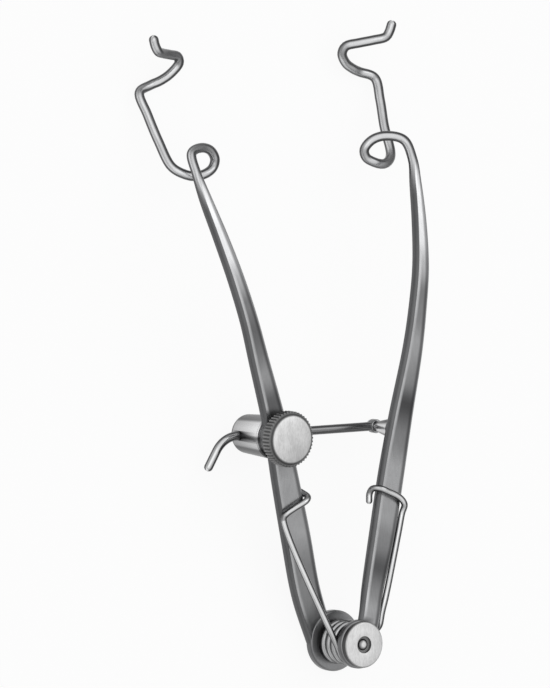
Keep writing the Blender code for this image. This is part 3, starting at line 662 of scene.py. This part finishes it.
def sweepArm(curve, table):
    placed = curveFrames(curve)
    rings, shine = [], []
    for number, (row, (point, tangent, side, face)) in enumerate(zip(curve, placed)):
        width, thickness = row[3], row[4]
        ratio = arms["flatRatio"]
        roundShare = max(0.0, min(1.0, (thickness * ratio - width) / (thickness * (ratio - 1))))
        section = stripSection(width, thickness, roundShare, paintedShineAt(table, row[1]))
        rings.append([(point + side * a + face * b) * mm for a, b, _ in section])
        paintedShineLevel = bendPaintedShade(placed, number)
        levels = []
        for a, b, level in section:
            wire = wireLevel(tangent, (side * a + face * b).normalized(), paintedShineLevel)
            levels.append(level + (wire - level) * roundShare)
        shine.append(levels)
    wire = arms["wire"]
    offsets = [(placed[-1][2] * a + placed[-1][3] * b) for a, b, _ in stripSection(wire, wire, 1.0, 1.0)]
    for ring in domeRings(placed[-1], 1, wire / 2, offsets):
        rings.append([spot * mm for spot in ring])
        shine.append(shine[-1])
    return sweepRings(rings, shine)


disc = {
    "rings": (0.3, 0.75),   # places of the rings on its faces, from the bore to the edge
    "face": 0.03,           # mm from a face that still count as the face
    "segments": 96,
    "past": 1,              # mm that a drill goes past the metal
}


def eyeProfile(radius, low, high, edge, bore):
    # Disc with rings on its faces, so that polish changes evenly across them
    inner, outer = (bore + (radius - edge - bore) * share for share in disc["rings"])
    return ((0.0, low), (inner, low), (outer, low), (radius - edge, low), (radius, low + edge),
            (radius, high - edge), (radius - edge, high), (outer, high), (inner, high), (0.0, high))


def paintDiscShine(obj, centre, radius, low, high, face, side):
    # A Boolean loses the painted shine of what it adds, so the discs get theirs by place: the face level on
    # the faces and painted shade on the side
    paintedShineAndWear = obj.data.attributes["paintedShineAndWear"].data
    for vert in obj.data.vertices:
        x, y, z = vert.co / mm
        if math.dist((x, y), centre) < radius + near and low - near < z < high + near:
            paintedShineAndWear[vert.index].value = face if min(z - low, high - z) < disc["face"] else side


def makeArm(name, hip, side, eye, eyeLow, body, node):
    curve = armCurve(hip, side)
    paintedShineLevel = arms[hip + "Polish"]
    arm = looseObject(name, sweepArm(curve, paintedShineLevel))
    place = (side * clamp["x"], clamp["y"])
    past = disc["past"]
    bore = hinge["pin"] + hinge["gap"]
    discs = [((0.0, 0.0), eye[0], eyeLow, eyeLow + eye[1], hinge["eyeEdge"], bore)]
    cuts = [drillBit(bore, eyeLow - past, eyeLow + eye[1] + past)]
    if side < 0:
        low, high = clamp["bossLow"], clamp["bossHigh"]
        bore = clamp["neck"] + hinge["gap"]
        discs.append((place, clamp["bossRadius"], low, high, hinge["eyeEdge"], bore))
        cuts.append(drillBit(bore, low - past, high + past, place))
    else:
        pad = clamp["pad"]
        discs.append((place, pad["radius"], pad["low"], pad["high"], pad["edge"], pad["bore"]))
        cuts.append(drillBit(pad["bore"], pad["low"] - past, pad["boreTop"], place))
    added = [turnProfile(eyeProfile(*sizes), disc["segments"], centre) for centre, *sizes in discs]
    combine(arm, [looseObject("added", bm) for bm in added], "UNION")
    combine(arm, [looseObject("cut", bm) for bm in cuts], "DIFFERENCE")
    for centre, radius, low, high, *_ in discs:
        paintDiscShine(arm, centre, radius, low, high, paintedShineLevel[0][1], arms["shine"]["eye"])
    finishPiece(arm, "forgedSteel", body, node)
    return curve


leftCurve = makeArm("leftArm", "left", -1, hinge["leftEye"], hinge["rear"], "left_arm_body", "left_arm")
rightCurve = makeArm("rightArm", "right", 1, hinge["rightEye"], hinge["rightEyeRear"], "right_arm_body",
                     "right_arm")
print("arms made")

# torsion spring
spring = {
    "wire": 0.8, "coilRadius": 2.4, "coilLow": -0.39, "coilHigh": 2.988, "turns": 3.5,
    "leftExit": 198, "rightExit": -36,    # degrees round the axis at which the legs leave the coil
    "coilStep": 18, "pathStep": 0.25, "sides": 20,
    "rest": 0.05,                         # gap between a leg and its arm
    "winds": 1.8,                         # it winds between this far left and right of the axis
    "paintedShineLevel": ((2.6, 0.62), (5.0, 1.0)),  # painted shade on the coil, full brightness on the legs: by the distance from the hinge's axis
    # y along the arm, then across and lift, which count from the arm's side and face to the seat
    "leftLeg": ((18.2, -0.35, -1.0), (18.1, -0.85, -0.95), (17.7, -1.0, -0.35), (17.35, -1.0, 0.55),
                (17.15, -0.75, 1.0), (16.85, 0.0, 1.0), (16.5, 0.6, 1.0), (16.1, 0.8, 1.0)),
    "rightLeg": ((6.0, 1.0, 0.2), (10.0, 1.0, 0.2), (14.0, 1.0, 0.2), (16.0, 1.0, 0.3), (16.9, 0.9, 0.85),
                 (17.5, 0.5, 1.0), (17.8, -0.3, 1.0), (17.9, -0.9, 0.95), (17.75, -1.2, 0.35),
                 (17.2, -1.2, -0.1), (16.3, -1.15, -0.1)),
    # x, y and z from the coil to the right leg
    "rightStep": ((2.85, 0.0, -0.35), (3.5, 0.8, 0.35), (3.65, 1.2, 1.9), (3.75, 1.9, 3.0), (4.05, 3.6, 3.2)),
}


def seatOnArm(curve, placed, y, across, lift):
    # Place of the spring's wire against the arm
    i = next(k for k, row in enumerate(curve) if row[1] >= y)
    share = (y - curve[i - 1][1]) / (curve[i][1] - curve[i - 1][1])
    point = placed[i - 1][0].lerp(placed[i][0], share)
    side = placed[i][2] * math.copysign(1.0, point.x)
    width = curve[i - 1][3] + (curve[i][3] - curve[i - 1][3]) * share
    thickness = curve[i - 1][4] + (curve[i][4] - curve[i - 1][4]) * share
    reach = spring["wire"] / 2 + spring["rest"]
    return point + side * across * (width / 2 + reach) + placed[i][3] * lift * (thickness / 2 + reach)


def makeSpring():
    s = spring
    leftPlaced, rightPlaced = curveFrames(leftCurve), curveFrames(rightCurve)
    left = [tuple(seatOnArm(leftCurve, leftPlaced, *row)) for row in s["leftLeg"]]
    right = [tuple(seatOnArm(rightCurve, rightPlaced, *row)) for row in s["rightLeg"]]
    sweep = s["turns"] * 360 + (s["rightExit"] + 180 - s["leftExit"])
    count = round(sweep / s["coilStep"])
    coil = []
    for k in range(count + 1):
        turn = math.radians(s["leftExit"] + sweep * k / count)
        coil.append((s["coilRadius"] * math.cos(turn), s["coilRadius"] * math.sin(turn),
                     s["coilHigh"] - (s["coilHigh"] - s["coilLow"]) * k / count))
    path = smoothCurve(left + coil + list(s["rightStep"]) + right, lambda start, end: s["pathStep"])
    bm = sweepWire([[value * mm for value in point] for point in path], s["wire"] / 2 * mm, s["sides"],
                   lambda i: paintedShineAt(s["paintedShineLevel"], math.hypot(*path[i][:2])))
    # the left leg stays with the left arm, the right leg with the right one, and the coil winds between
    ends = [onTable @ atMm(x, 0, 0) for x in (-s["winds"], s["winds"])]
    winding = ("left_arm_body", "right_arm_body", *ends)
    finishPiece(looseObject("hingeSpring", bm), "drawnWire", winding, "torsion_spring")


makeSpring()

# hinge pin, cap and sleeve
cap = {
    "radius": 2.85, "rear": 4.368, "front": 5.088, "bevel": 0.2, "bevelDrop": 0.15, "edge": 0.08,
    "faceRing": 1.75, "recess": 1.05, "recessDepth": 0.35,
    "shine": (0.1, 0.1, 0.05, 0.05, 0.82, 0.88, 0.86, 0.18, 0.18),
    "segments": 128,
}
pinShape = {
    "end": 5.008, "tip": 0.65, "head": 1.5, "headThick": 0.3,
    "headRound": ((0.8, 0.0), (0.94, 0.04), (1.0, 0.15)),   # share of the radius, mm from the rear
    "dome": ((1.0, 0.3), (0.93, 0.2), (0.8, 0.1), (0.6, 0.04), (0.4, 0.01), (0.0, 0.0)),  # mm from the end
    "shine": (0.5, 0.5, 0.5, 0.5, 0.3, 0.3, 0.2, 0.2, 0.14, 0.16, 0.24, 0.5, 0.95, 1.0),
    "segments": 72,
}
sleeve = {"radius": 1.8, "edge": 0.08, "paintedShineLevel": 0.3, "segments": 72}


def makeHingeStack():
    gap, pin, tip = hinge["sideGap"], hinge["pin"], pinShape["tip"]
    bore = tip + hinge["gap"]
    rear, front, radius, edge = cap["rear"], cap["front"], cap["radius"], cap["edge"]
    floor = front - cap["recessDepth"]
    profile = ((bore, rear), (radius - edge, rear), (radius, rear + edge), (radius, front - cap["bevelDrop"]),
               (radius - cap["bevel"], front), (cap["faceRing"], front), (cap["recess"], front),
               (cap["recess"], floor), (bore, floor))
    bm = turnProfile(profile, cap["segments"], shine=cap["shine"], wear=0.0)
    finishPiece(looseObject("hingeCap", bm), "satinFace", "left_arm_body", "hinge_cap")
    head, headTop, end = pinShape["head"], hinge["rear"] - gap, pinShape["end"]
    headLow = headTop - pinShape["headThick"]
    profile = ((0.0, headLow), *((head * share, headLow + up) for share, up in pinShape["headRound"]),
               (head, headTop), (pin, headTop), (pin, rear - gap), (tip, rear - gap),
               *((tip * share, end - down) for share, down in pinShape["dome"]))
    bm = turnProfile(profile, pinShape["segments"], shine=pinShape["shine"], wear=0.0)
    finishPiece(looseObject("hingePin", bm), "turnedSteel", "left_arm_body", "hinge_pin")
    low, high = hinge["rear"] + hinge["leftEye"][1] + gap, hinge["rightEyeRear"] - gap
    profile = ringProfile(pin + hinge["gap"], sleeve["radius"], low, high, sleeve["edge"])
    bm = turnProfile(profile, sleeve["segments"], shine=[sleeve["paintedShineLevel"]] * len(profile))
    finishPiece(looseObject("hingeSleeve", bm), "turnedSteel", "left_arm_body",
                "hinge_sleeve")


makeHingeStack()
print("hinge made")

# clamp: lock post, collar and thumbscrew
post = {
    "barrel": 2.7, "end": 2.4, "round": 0.9, "roundSteps": 10, "low": -7.4, "top": -1.14, "edge": 0.15,
    "screw": 0.85, "rodBore": 0.6,
    "paintedShineLevel": 0.75, "shoulderPolish": (0.8, 0.8, 0.3, 0.3, 0.3),
    # painted reflection bands by the sine round the barrel, from the hinge's side to the blades' side
    "paintedBands": ((-1.0, 0.14), (-0.88, 0.08), (-0.60, 0.10), (-0.45, 0.60), (-0.32, 0.70), (-0.18, 0.42),
              (-0.04, 0.18), (0.02, 0.20), (0.12, 0.88), (0.40, 1.0), (0.66, 0.86), (0.80, 0.16), (1.0, 0.12)),
    # share of it that is left, by the height: painted shade towards its round end
    "endPolish": ((-7.4, 0.08), (-6.75, 0.10), (-6.25, 1.0), (0.0, 1.0)),
    "segments": 128,
}
collar = {"radius": 2.5, "low": 0.24, "high": 0.84, "edge": 0.12, "shine": (0.3, 0.4, 0.5, 0.5, 0.6, 0.4)}
knob = {
    "radius": 3.45, "face": 3.05, "low": 0.99, "thick": 1.6, "rimDrop": 0.42, "edge": 0.12, "chamfer": 0.25,
    "crown": 0.3, "crownMiddle": (0.12, 0.045), "faceRings": (2.0, 1.0),
    "knurls": 48, "depth": 0.13, "perKnurl": 6, "grooveShape": 0.8,
    "ridgePolish": 0.26, "groovePolish": 0.02,
    "faceGradient": 0.24,              # brighter towards the +y, -x side of the face
    "tipAbove": 0.59,               # of the shank's end above the rod's middle
    "tipShare": 0.6, "tipTaper": 0.3,
    "shine": (0.3, 0.3, 0.3, 0.3, 0.1, 0.05, 0.05, 0.2, 0.04, 0.15, 0.80, 0.80, 0.80, 0.80),
}


def makeLockPost():
    s = post
    profile = [(0.0, s["low"])]
    for k in range(s["roundSteps"] + 1):
        turn = math.radians(90 * k / s["roundSteps"])
        profile.append((s["end"] - s["round"] * (1 - math.sin(turn)),
                        s["low"] + s["round"] * (1 - math.cos(turn))))
    shine = [s["paintedShineLevel"]] * len(profile) + list(s["shoulderPolish"])
    neck, collarTop = clamp["neck"], collar["high"]
    profile += [(s["barrel"], s["top"] - s["edge"]), (s["barrel"] - s["edge"], s["top"]), (neck, s["top"]),
                (neck, collarTop), (0.0, collarTop)]
    bm = turnProfile(profile, s["segments"], shine=shine)
    paintBandsRound(bm, s["paintedBands"], s["end"] - s["round"], s["endPolish"])
    barrel = looseObject("lockPost", bm)
    past = disc["past"]
    cross = drillBit(s["rodBore"], -s["barrel"] - past, s["barrel"] + past)
    bmesh.ops.rotate(cross, verts=cross.verts, cent=(0, 0, 0), matrix=Matrix.Rotation(math.pi / 2, 3, "Y"))
    bmesh.ops.translate(cross, verts=cross.verts, vec=atMm(0, 0, clamp["rod"]))
    bore = drillBit(s["screw"] + hinge["gap"], clamp["rod"], collarTop + past)
    combine(barrel, [looseObject("cut", bm) for bm in (bore, cross)], "DIFFERENCE")
    barrel.data.transform(Matrix.Translation(atMm(-clamp["x"], clamp["y"], 0)))
    finishPiece(barrel, "turnedSteel", "post_body", "lock_post")
    profile = ringProfile(neck + hinge["gap"], collar["radius"], collar["low"], collar["high"], collar["edge"])
    bm = turnProfile(profile, disc["segments"], (-clamp["x"], clamp["y"]), collar["shine"])
    finishPiece(looseObject("postCollar", bm), "turnedSteel", "post_body", "post_collar")


def makeThumbscrew():
    s = knob
    low, top = s["low"], s["low"] + s["thick"]
    tip, shank = clamp["rod"] + s["tipAbove"], post["screw"]
    rimTop = top - s["rimDrop"]
    inward, down = s["crownMiddle"]
    profile = ((0.0, tip), (shank * s["tipShare"], tip), (shank, tip + s["tipTaper"]), (shank, low),
               (s["radius"] - s["chamfer"], low), (s["radius"], low + s["edge"]), (s["radius"], rimTop),
               (s["radius"] - s["chamfer"], rimTop + s["edge"]), (s["face"], top - s["edge"]),
               (s["face"] - inward, top - down), (s["face"] - s["crown"], top),
               *((ring, top) for ring in s["faceRings"]), (0.0, top))
    bm = turnProfile(profile, s["knurls"] * s["perKnurl"], shine=s["shine"], bevel=0.0)
    paintedShineAndWear = bm.verts.layers.float["paintedShineAndWear"]
    for vert in bm.verts:
        radius = math.hypot(vert.co.x, vert.co.y) / mm
        if radius > s["radius"] - near and low < vert.co.z / mm < rimTop + near:
            phase = math.atan2(vert.co.y, vert.co.x) * s["knurls"]
            groove = (0.5 - 0.5 * math.cos(phase)) ** s["grooveShape"]
            scale = (radius - s["depth"] * groove) / radius
            vert.co.x, vert.co.y = vert.co.x * scale, vert.co.y * scale
            # painted shade in the knurl's grooves, lighter on the ridges
            vert[paintedShineAndWear] = s["ridgePolish"] - (s["ridgePolish"] - s["groovePolish"]) * groove
        elif vert.co.z / mm > top - near:
            vert[paintedShineAndWear] += s["faceGradient"] * (vert.co.y - vert.co.x) / (mm * s["radius"] * math.sqrt(2))
    bmesh.ops.translate(bm, verts=bm.verts, vec=atMm(-clamp["x"], clamp["y"], 0))
    screw = looseObject("thumbScrew", bm)
    finishPiece(screw, "satinFace", "screw_body", "thumbscrew")


makeLockPost()
makeThumbscrew()
print("clamp made")

# guide rod, its pivot post and keeper
rod = {
    "wire": 1.1, "past": 0.05, "bend": 3.6, "bendDegrees": 58, "tail": 2.3, "eye": 0.85, "pivot": 0.4,
    "startShare": 0.6,              # of the eye's radius, where the wire starts inside it
    "sides": 24, "straightSteps": 40, "bendSteps": 24,
    "eyeEdge": 0.12, "eyeSegments": 64, "eyePolish": (0.5, 0.15),   # painted shine on its faces and painted shade on its side
    # painted shade along the rod, brighter towards its tail: by the distance from the pivot, negative towards
    # the lock post
    "paintedShineLevel": ((-22.5, 0.95), (-20.5, 0.6), (-18, 0.24), (-6, 0.32), (0, 0.2)),
}
pivot = {
    # radius and height of the base and spigot, radius and thickness of the head and keeper
    "base": (1.3, -1.24), "shoulder": 0.62, "spigot": (0.6, -0.6), "head": (0.6, 0.25), "keeper": (0.75, 0.3),
    "headRound": ((0.7, 1.0), (0.92, 0.75), (1.0, 0.4)),    # shares of the head's radius and thickness
    "play": 0.12, "keeperEdge": 0.06, "keeperPolish": 0.4,
    "shine": (0.5, 0.5, 0.5, 0.5, 0.4, 0.3, 0.3, 0.35, 0.5, 0.3, 0.3, 0.3),
    # painted reflection bands by the sine round it, as on the lock post
    "paintedBands": ((-1.0, 0.03), (-0.72, 0.08), (-0.35, 0.75), (0.35, 0.85), (0.72, 0.08), (1.0, 0.03)),
    "segments": 64,
}


def makeRod():
    s = rod
    z = clamp["rod"]
    straight, steps = 2 * clamp["x"] + post["barrel"] + s["past"], s["straightSteps"]
    path = [(-s["eye"] * s["startShare"], 0.0, z)]
    path += [(-straight * k / steps, 0.0, z) for k in range(2, steps + 1)]
    for k in range(1, s["bendSteps"] + 1):
        turn = math.radians(s["bendDegrees"] * k / s["bendSteps"])
        path.append((-straight - s["bend"] * math.sin(turn), -s["bend"] * (1 - math.cos(turn)), z))
    path.append((path[-1][0] - s["tail"] * math.cos(turn), path[-1][1] - s["tail"] * math.sin(turn), z))
    bm = sweepWire([[value * mm for value in point] for point in path], s["wire"] / 2 * mm, s["sides"],
                   lambda i: paintedShineAt(s["paintedShineLevel"], path[i][0]))
    piece = looseObject("guideRod", bm)
    half = s["wire"] / 2
    bore = s["pivot"] + hinge["gap"]
    eye = turnProfile(eyeProfile(s["eye"], z - half, z + half, s["eyeEdge"], bore), s["eyeSegments"])
    combine(piece, [looseObject("added", eye)], "UNION")
    combine(piece, [looseObject("cut", drillBit(bore, z - s["wire"], z + s["wire"]))], "DIFFERENCE")
    paintDiscShine(piece, (0.0, 0.0), s["eye"], z - half, z + half, *s["eyePolish"])
    piece.data.transform(Matrix.Translation(atMm(clamp["x"], clamp["y"], 0)))
    finishPiece(piece, "drawnWire", "rod_body", "guide_rod")


def makePivot():
    z, half, gap = clamp["rod"], rod["wire"] / 2, hinge["sideGap"]
    shoulder = z + half + gap
    journalLow = z - half - pivot["keeper"][1] - pivot["play"]
    headRadius, headThick = pivot["head"]
    baseRadius, base = pivot["base"]
    spigot, spigotTop = pivot["spigot"]
    place = (clamp["x"], clamp["y"])
    profile = ((0.0, journalLow - headThick),
               *((headRadius * wide, journalLow - headThick * deep) for wide, deep in pivot["headRound"]),
               (headRadius, journalLow), (rod["pivot"], journalLow), (rod["pivot"], shoulder),
               (pivot["shoulder"], shoulder), (baseRadius, base), (spigot, base), (spigot, spigotTop),
               (0.0, spigotTop))
    bm = turnProfile(profile, pivot["segments"], shine=pivot["shine"], wear=0.0)
    paintBandsRound(bm, pivot["paintedBands"], pivot["shoulder"] - near)
    bmesh.ops.translate(bm, verts=bm.verts, vec=atMm(*place, 0.0))
    finishPiece(looseObject("pivotPost", bm), "turnedSteel", "right_arm_body", "pivot_post")
    radius, thick = pivot["keeper"]
    high = z - half - gap
    profile = ringProfile(rod["pivot"] + hinge["gap"], radius, high - thick, high, pivot["keeperEdge"])
    bm = turnProfile(profile, pivot["segments"], place, [pivot["keeperPolish"]] * len(profile))
    finishPiece(looseObject("rodKeeper", bm), "turnedSteel", "right_arm_body", "rod_keeper")


makeRod()
makePivot()
print("rod made")

# floor and studio light
studio = {
    "floorSize": 3.0, "floorBelow": 0.02 * mm, "floorColor": 0.86, "floorRoughness": 0.9,
    "whiteShare": 0.91,             # of plain white in what the camera and reflections see of the floor
    "sky": {"from": -0.1, "to": 1.0, "low": 0.42, "high": 0.90},    # height and strength
    "aim": (0.0, 37.0, 0.0),        # the lamps' aim, mm in the hinge frame
    # name: direction from there in the hinge frame, distance and size in metres, watts
    "lamps": {"front": ((-0.55, 0.35, 0.78), 0.60, 0.40, 0.12),
              "left": ((-0.84, -0.10, 0.52), 0.50, 0.30, 0.05),
              "high": ((0.585, 0.50, 0.66), 0.60, 0.40, 0.26)},
}


def makeFloor():
    bm = bmesh.new()
    bmesh.ops.create_grid(bm, x_segments=2, y_segments=2, size=studio["floorSize"] / 2)
    floor = looseObject("paleFloor", bm)
    floor.location = (0.0, 0.0, -studio["floorBelow"])
    material = bpy.data.materials.new("paleFloor")
    material.use_nodes = True
    tree = material.node_tree
    shader = tree.nodes["Principled BSDF"]
    shader.inputs["Base Color"].default_value = (*[studio["floorColor"]] * 3, 1.0)
    shader.inputs["Roughness"].default_value = studio["floorRoughness"]
    glow = tree.nodes.new("ShaderNodeEmission")
    glow.inputs["Strength"].default_value = 1.0
    path = tree.nodes.new("ShaderNodeLightPath")
    seen = addMath(tree, "ADD", path.outputs["Is Camera Ray"], path.outputs["Is Glossy Ray"], clamp=True)
    seen = addMath(tree, "ADD", seen, path.outputs["Is Transmission Ray"], clamp=True)
    share = addMath(tree, "MULTIPLY", seen, studio["whiteShare"])
    mix = tree.nodes.new("ShaderNodeMixShader")
    tree.links.new(share, mix.inputs[0])
    tree.links.new(shader.outputs[0], mix.inputs[1])
    tree.links.new(glow.outputs[0], mix.inputs[2])
    tree.links.new(mix.outputs[0], tree.nodes["Material Output"].inputs["Surface"])
    floor.data.materials.append(material)


def makeStudio():
    world = bpy.data.worlds.new("studio")
    scene.world = world
    world.use_nodes = True
    tree = world.node_tree
    background = tree.nodes["Background"]
    where = tree.nodes.new("ShaderNodeTexCoord")
    split = tree.nodes.new("ShaderNodeSeparateXYZ")
    tree.links.new(where.outputs["Generated"], split.inputs[0])
    sky = studio["sky"]
    level = addRange(tree, split.outputs["Z"], sky["from"], sky["to"], sky["low"], sky["high"])
    tree.links.new(level, background.inputs["Strength"])
    background.inputs["Color"].default_value = (1.0, 1.0, 1.0, 1.0)
    middle = onTable @ atMm(*studio["aim"])
    for name, (toward, distance, size, watts) in studio["lamps"].items():
        data = bpy.data.lights.new(name, "AREA")
        data.shape, data.size, data.energy = "DISK", size, watts
        lamp = bpy.data.objects.new(name, data)
        direction = (onTable.to_3x3() @ Vector(toward)).normalized()
        lamp.location = middle + direction * distance
        lamp.rotation_euler = direction.to_track_quat("Z", "Y").to_euler()
        scene.collection.objects.link(lamp)


makeFloor()
makeStudio()
print("studio lit")

scene.view_settings.view_transform = "Standard"
